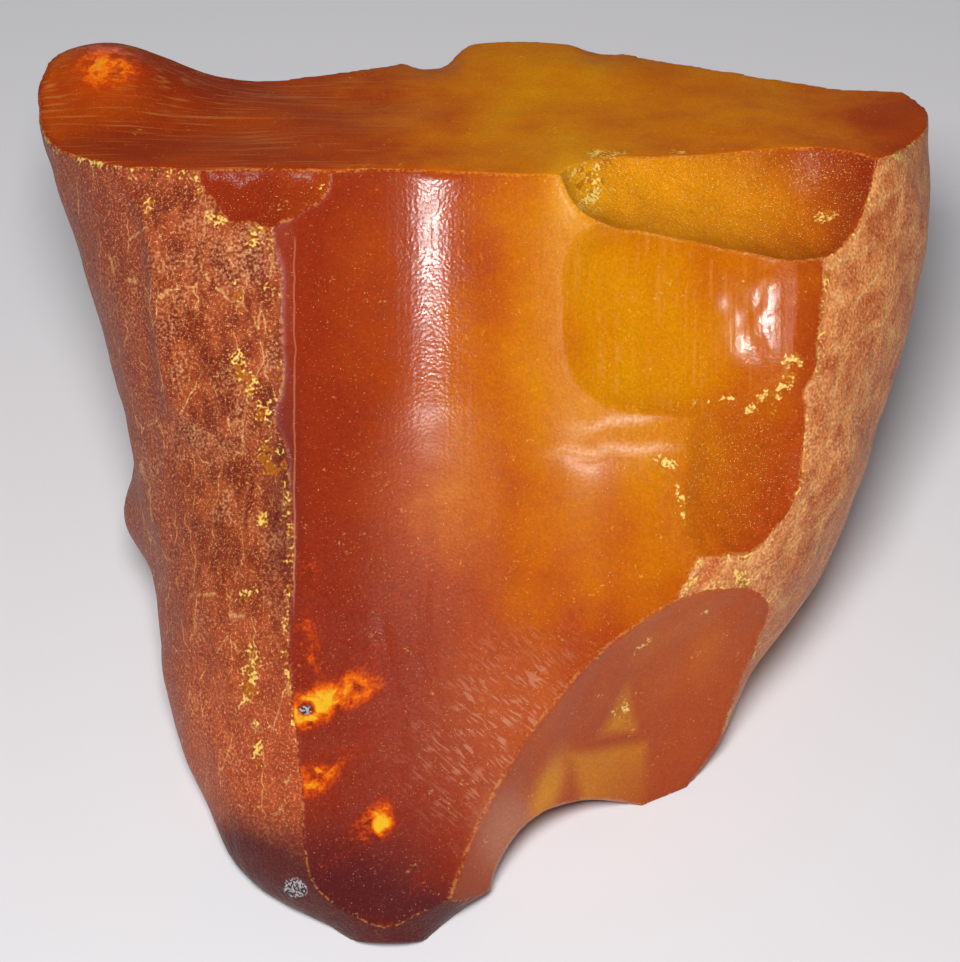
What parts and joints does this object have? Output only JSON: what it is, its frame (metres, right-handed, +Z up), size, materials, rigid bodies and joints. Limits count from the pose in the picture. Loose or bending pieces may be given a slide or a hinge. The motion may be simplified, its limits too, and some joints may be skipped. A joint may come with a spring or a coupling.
{
  "type": "raw amber piece",
  "caption": "Rough lump of amber in a weathered rind, broken open in front and on top, that lies on a flat facet.",
  "frame": {"origin": "middle of the box around the stone, at the level of the surface that it lies on", "axes": "+Z up from the surface, -Y towards the tip and the broken front face, +X to the right as the front face is seen"},
  "size_m": [0.063, 0.0682, 0.0367],
  "materials": {
    "amber": "glossy"
  },
  "bodies": {
    "root": {"amber_piece": "amber"}
  },
  "joints": []
}
